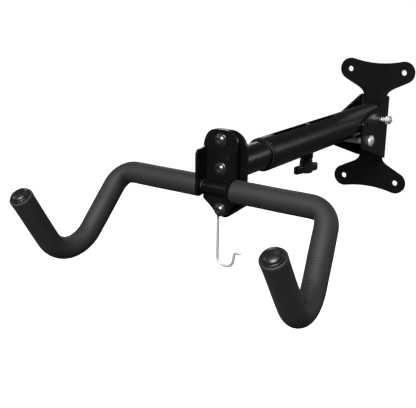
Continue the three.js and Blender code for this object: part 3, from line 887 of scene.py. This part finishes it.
class RACK_OT_clamp(RackOperator, bpy.types.Operator):
    """Makes the clamp screw and its winged knob"""

    bl_idname = "rack.clamp"
    bl_label = "Clamp"

    def execute(self, context):
        self.screw(context.scene.rack_sizes.thread_pitch)
        self.knob()
        return {"FINISHED"}

    def screw(self, pitch):
        """A threaded stud."""
        place = middle("clamp_screw")
        place.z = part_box("clamp_screw")[0].z
        length = spans("clamp_screw").z
        profile = [
            (0, 0), (M8 - 0.6 * MM, 0), *thread(M8, THREAD_LEAD, length - 0.8 * MM, pitch * M8_PITCH),
            (M8 - 1 * MM, length), (0, length),
        ]
        bm = bmesh.new()
        turned(bm, profile, Z, place)
        placed(bm, "clamp_screw_finished", "zinc", ["clamp_screw"])

    def knob(self):
        """A hub with two wings, moulded in one."""
        place = middle("clamp_knob")
        place.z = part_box("clamp_knob")[0].z
        height = spans("clamp_knob").z
        bm = bmesh.new()
        hub = [
            (0, 0), (5.8 * MM, 0), (7.0 * MM, 0.4 * MM), (7.8 * MM, 1.6 * MM),
            (7.6 * MM, height * 0.55), (7.0 * MM, height - 1.2 * MM), (6.4 * MM, height - 0.3 * MM),
            (5.8 * MM, height), (0, height),
        ]
        turned(bm, hub, Z, place)
        for side in (0, math.pi):
            wing = bmesh.ops.create_cube(bm, size=1.0)["verts"]
            bmesh.ops.scale(bm, vec=WING, verts=wing)
            bmesh.ops.translate(bm, vec=WING_MIDDLE, verts=wing)
            for vert in wing:
                if vert.co.x > WING_MIDDLE.x:
                    vert.co.y *= WING_TAPER
            edges = list({edge for vert in wing for edge in vert.link_edges})
            made = bmesh.ops.bevel(
                bm, geom=edges, offset=WING_CORNER, offset_type="OFFSET", segments=4, profile=0.5,
                affect="EDGES", material=-1, clamp_overlap=True,
            )
            wing = list({vert for face in made["faces"] for vert in face.verts})
            spot = Matrix.Translation(place) @ Matrix.Rotation(WING_TURN + side, 4, "Z")
            bmesh.ops.transform(bm, matrix=spot, verts=wing)
        bmesh.ops.recalc_face_normals(bm, faces=bm.faces)
        knob = placed(bm, "clamp_knob_finished", "knob_plastic", ["clamp_knob"], sharp=180)
        skin = knob.modifiers.new("One moulding", "REMESH")
        skin.mode = "VOXEL"
        skin.voxel_size = 0.4 * MM
        skin.use_smooth_shade = True
        even = knob.modifiers.new("Soft fillets", "SMOOTH")
        even.factor = 0.5
        even.iterations = 5


class RACK_OT_inner_arm(RackOperator, bpy.types.Operator):
    """Finishes the inner tube and its guide screw"""

    bl_idname = "rack.inner_arm"
    bl_label = "Inner arm"

    def execute(self, context):
        sizes = context.scene.rack_sizes
        softened("inner_tube", "black_coat", sizes.tube_edge)
        softened("guide_screw", "black_bolt", 0.4 * MM, segments=3)
        return {"FINISHED"}


class RACK_OT_hook_brackets(RackOperator, bpy.types.Operator):
    """Finishes the end plate and the channel, with the welds that hold the tube and the bar"""

    bl_idname = "rack.hook_brackets"
    bl_label = "Hook brackets"

    def execute(self, context):
        sizes = context.scene.rack_sizes
        softened("end_plate", "black_coat", sizes.plate_edge)
        softened("hook_channel", "black_coat", sizes.plate_edge)
        bead = sizes.weld_bead
        joint = Vector((0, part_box("end_plate")[1].y + 0.6 * bead, middle("inner_tube").z))
        radius = spans("inner_tube").x / 2
        weld("tube_weld", joint, Y, radius + 0.3 * bead, bead, "inner_arm")
        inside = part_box("hook_channel")[1].x - PLATE
        for word, side in (("left", -1), ("right", 1)):
            centre = Vector((side * (inside - 0.2 * bead), BAR.y, BAR.z))
            weld(f"bar_weld_{word}", centre, X, ROD_RADIUS + 0.1 * bead, 0.75 * bead, "inner_arm")
        return {"FINISHED"}


class RACK_OT_bracket_bolts(RackOperator, bpy.types.Operator):
    """Makes the three socket bolts through the brackets, with their nuts, washers and spacers"""

    bl_idname = "rack.bracket_bolts"
    bl_label = "Bracket bolts"

    def execute(self, context):
        pitch = context.scene.rack_sizes.thread_pitch
        for word in ("top", "middle", "bottom"):
            self.bolt(word, pitch)
            softened(f"nut_{word}", "black_bolt", 0.35 * MM, segments=3)
        for word in ("top", "bottom"):
            softened(f"washer_{word}", "black_bolt", 0.2 * MM)
        for word in ("top", "middle"):
            softened(f"spacer_{word}", "zinc", 0.2 * MM)
        return {"FINISHED"}

    def bolt(self, word, pitch):
        """A button-head bolt with a hexagonal socket, its head to the front."""
        node = f"bolt_{word}"
        place = middle(node)
        place.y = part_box(node)[1].y
        under = spans(node).y - M6_HEAD_HEIGHT
        plain = 4 * MM
        flange = 1.0 * MM
        profile = [
            *shank(M6, under - plain, under, pitch),
            (M6_FLANGE - EASE, under), (M6_FLANGE, under + EASE),
            (M6_FLANGE - EASE / 4, under + flange - 0.3 * MM),
            (M6_FLANGE - 0.3 * MM, under + flange - 0.1 * MM), (M6_HEAD, under + flange),
            *dome(M6_HEAD, under + flange, M6_HEAD_HEIGHT - flange, 2.9 * MM),
        ]
        bm = bmesh.new()
        socket_head(bm, profile, 2.3 * MM, SOCKET_DEPTH, -Y, place)
        placed(bm, f"{node}_finished", "black_bolt", [node])


class RACK_OT_hook_bar(RackOperator, bpy.types.Operator):
    """Bends the steel bar that carries the bicycle"""

    bl_idname = "rack.hook_bar"
    bl_label = "Hook bar"

    def execute(self, context):
        bm = bmesh.new()
        mirror = Matrix.Diagonal((-1, 1, 1))
        rise = (HOOK_TIP - HOOK_BOTTOM).normalized()
        end = HOOK_TIP - rise * ROD_END
        half = [BAR + SHOULDER, BAR + HOOK_BOTTOM, BAR + end]
        for side in (Matrix.Identity(3), mirror):
            corners = [side @ corner for corner in half]
            bar = Bender(bm, BAR, side @ X, ROD_RADIUS, 32)
            bar.follow(corners, (SHOULDER_BEND, BOTTOM_BEND), 20 * MM, 2 * MM)
            bar.close_end()
        bmesh.ops.remove_doubles(bm, verts=bm.verts, dist=MERGE)
        bmesh.ops.recalc_face_normals(bm, faces=bm.faces)
        placed(bm, "hook_bar_finished", "black_coat", ["hook_bar"])
        return {"FINISHED"}


class RACK_OT_foam_sleeves(RackOperator, bpy.types.Operator):
    """Makes the two foam sleeves, with the folds that the bends press into them"""

    bl_idname = "rack.foam_sleeves"
    bl_label = "Foam sleeves"

    def execute(self, context):
        sizes = context.scene.rack_sizes
        for word, side in (("left", -1), ("right", 1)):
            self.sleeve(word, side, sizes)
        return {"FINISHED"}

    def line(self, bm, side, radius, sides, step, bend_step):
        """One skin of a sleeve, drawn along the bar, and its bends."""
        turn = Matrix.Diagonal((side, 1, 1))
        rise = (HOOK_TIP - HOOK_BOTTOM).normalized()
        end = HOOK_TIP - rise * SLEEVE_END
        inner = abs(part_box("pad_right")[0].x)
        start = Vector((side * inner, BAR.y, BAR.z))
        skin = Bender(bm, start, turn @ X, radius, sides)
        corners = [BAR + turn @ corner for corner in (SHOULDER, HOOK_BOTTOM, end)]
        bends = skin.follow(corners, (SHOULDER_BEND, BOTTOM_BEND), step, bend_step)
        return skin, bends

    def sleeve(self, word, side, sizes):
        """A sleeve with an outer skin, a bore and closed ends."""
        bm = bmesh.new()
        run_layer = bm.verts.layers.float.new("run")
        fold_layer = bm.verts.layers.float.new("folds")
        skin, bends = self.line(bm, side, SLEEVE_RADIUS, 64, 0.8 * MM, 0.6 * MM)
        length = skin.run
        lined = bends[1][0] - LINED_FROM_BEND if side > 0 else bends[0][1] + LINED_FROM_BEND
        for run, place, heading, verts in skin.rings:
            for vert in verts:
                vert[run_layer] = run
                away = (vert.co - place).normalized()
                depth, share = self.fold(run, away, lined, bends, sizes)
                edge = min(run, length - run)
                flare = FLARE * math.exp(-(((length - run) / FLARE_REACH) ** 2))
                roll = ROLL_DEPTH * max(0.0, 1 - edge / ROLL_REACH) ** 2
                vert[fold_layer] = share
                vert.co = place + away * (SLEEVE_RADIUS + flare - roll - depth)
        bore, _ = self.line(bm, side, ROD_RADIUS + FOAM_GAP, 64, 6 * MM, 3 * MM)
        for end in (0, -1):
            loops = ring_edges(skin.rings[end][3]) + ring_edges(bore.rings[end][3])
            bmesh.ops.bridge_loops(bm, edges=loops)
        bmesh.ops.recalc_face_normals(bm, faces=bm.faces)
        piece = placed(bm, f"foam_sleeve_{word}", "foam", [f"pad_{word}"], sharp=60)

    def fold(self, run, away, lined, bends, sizes):
        """How deep the skin is pressed at a point, and how folded it is there from 0 to 1."""
        wander = 1.5 * math.sin(run * FOLD_WANDER_PACE) + 1.3 * away.x
        ridge = max(0.0, math.sin(2 * math.pi * run / sizes.fold_pitch + wander)) ** 3
        depth = UNEVEN * (1 + math.sin(run * UNEVEN_PACE + 2 * away.z))
        front = max(0.0, 0.5 - 0.5 * away.y) ** 2
        share = math.exp(-(((run - lined) / LINED_REACH) ** 4)) * front
        depth += 0.5 * sizes.fold_depth * share * ridge
        for start, end, first, last in bends:
            progress = min(1.0, max(0.0, (run - start) / (end - start)))
            inner = max(0.0, away.dot(first.slerp(last, progress)))
            outside = max(start - run, run - end, 0.0)
            pressed = math.exp(-((outside / PRESSED_REACH) ** 2)) * inner ** 2
            depth += sizes.fold_depth * pressed * ridge
            share = max(share, pressed)
            if last.z < 0:
                corner = abs(progress - 0.5) * (end - start) / SHOULDER_BEND
                half = (end - start) / SHOULDER_BEND / 2
                dent = (SHOULDER_BEND - SLEEVE_RADIUS) * (1 / math.cos(half - corner) - 1)
                depth += dent * inner ** 3 * (outside == 0.0)
        return depth, share


class RACK_OT_end_caps(RackOperator, bpy.types.Operator):
    """Makes the glossy caps on the hooks' tips"""

    bl_idname = "rack.end_caps"
    bl_label = "End caps"

    def execute(self, context):
        rise = (HOOK_TIP - HOOK_BOTTOM).normalized()
        bore = [(0, 2.4), (5.3, 2.4), (5.3, 0.0)]
        rim = [(9.4, 0.0), (9.6, 0.2), (9.6, 0.7), (9.5, 1.1), (9.25, 1.4), (8.95, 1.5)]
        groove = [(8.7, 1.45), (8.5, 1.3), (8.35, 1.2), (8.15, 1.25), (7.95, 1.5)]
        profile = [(radius * MM, height * MM) for radius, height in bore + rim + groove]
        profile += dome(CROWN_RADIUS, CROWN_BASE, CROWN_RISE, 0, 14)
        for word, side in (("left", -1), ("right", 1)):
            turn = Matrix.Diagonal((side, 1, 1))
            place = BAR + turn @ (HOOK_TIP - rise * CAP_HEIGHT)
            bm = bmesh.new()
            turned(bm, profile, turn @ rise, place, 72)
            placed(bm, f"cap_{word}", "gloss_plastic", [f"end_cap_{word}"], sharp=50)
        return {"FINISHED"}


class RACK_OT_wire_hook(RackOperator, bpy.types.Operator):
    """Bends the wire hook for a helmet"""

    bl_idname = "rack.wire_hook"
    bl_label = "Wire hook"

    def execute(self, context):
        bolt = middle("wire_hook")
        bolt.x = 0
        bolt.z = middle("bolt_bottom").z
        start = math.pi - EYE_TURN
        spoke = Vector((math.cos(start), 0, math.sin(start)))
        heading = Vector((-math.sin(start), 0, math.cos(start)))
        bm = bmesh.new()
        wire = Bender(bm, bolt + spoke * EYE_RADIUS, heading, WIRE_RADIUS, 16)
        wire.bend(-spoke, EYE_RADIUS, EYE_TURN, 0.6 * MM)
        foot = bolt + Vector((-EYE_RADIUS, 0, -WIRE_DROP))
        corners = [foot, foot + X * WIRE_MOUTH, foot + WIRE_TIP, foot + WIRE_LIP]
        wire.follow(corners, (WIRE_BEND, WIRE_BEND, WIRE_TIP_BEND), 4 * MM, 0.7 * MM)
        wire.close_end(WIRE_RADIUS)
        wire.close_start(WIRE_RADIUS)
        bmesh.ops.recalc_face_normals(bm, faces=bm.faces)
        placed(bm, "wire_hook_finished", "zinc", ["wire_hook"], sharp=60)
        return {"FINISHED"}


class RACK_PT_panel(bpy.types.Panel):
    """Lists the steps of the build with their sizes and colours"""

    bl_idname = "RACK_PT_panel"
    bl_label = "Wall Rack"
    bl_space_type = "VIEW_3D"
    bl_region_type = "UI"
    bl_category = "Wall Rack"

    def draw(self, context):
        column = self.layout.column(align=True)
        for step in STEPS:
            column.operator(step.bl_idname)
        for group in (context.scene.rack_sizes, context.scene.rack_colours):
            box = self.layout.box()
            for name in group.__annotations__:
                box.prop(group, name)


STEPS = (
    RACK_OT_stage, RACK_OT_wall_bracket, RACK_OT_pivot, RACK_OT_stop, RACK_OT_outer_arm,
    RACK_OT_clamp, RACK_OT_inner_arm, RACK_OT_hook_brackets, RACK_OT_bracket_bolts,
    RACK_OT_hook_bar, RACK_OT_foam_sleeves, RACK_OT_end_caps, RACK_OT_wire_hook,
)
CLASSES = (RackSizes, RackColours, *STEPS, RACK_PT_panel)


def register():
    """Makes the rack's settings, steps and panel known."""
    for item in CLASSES:
        bpy.utils.register_class(item)
    bpy.types.Scene.rack_sizes = PointerProperty(type=RackSizes)
    bpy.types.Scene.rack_colours = PointerProperty(type=RackColours)


def unregister():
    """Takes them away again."""
    del bpy.types.Scene.rack_sizes
    del bpy.types.Scene.rack_colours
    for item in reversed(CLASSES):
        bpy.utils.unregister_class(item)


def main():
    """Builds everything."""
    register()
    bpy.ops.rack.stage()
    bpy.ops.rack.wall_bracket()
    bpy.ops.rack.pivot()
    bpy.ops.rack.stop()
    bpy.ops.rack.outer_arm()
    bpy.ops.rack.clamp()
    bpy.ops.rack.inner_arm()
    bpy.ops.rack.hook_brackets()
    bpy.ops.rack.bracket_bolts()
    bpy.ops.rack.hook_bar()
    bpy.ops.rack.foam_sleeves()
    bpy.ops.rack.end_caps()
    bpy.ops.rack.wire_hook()


if __name__ == "__main__":
    main()
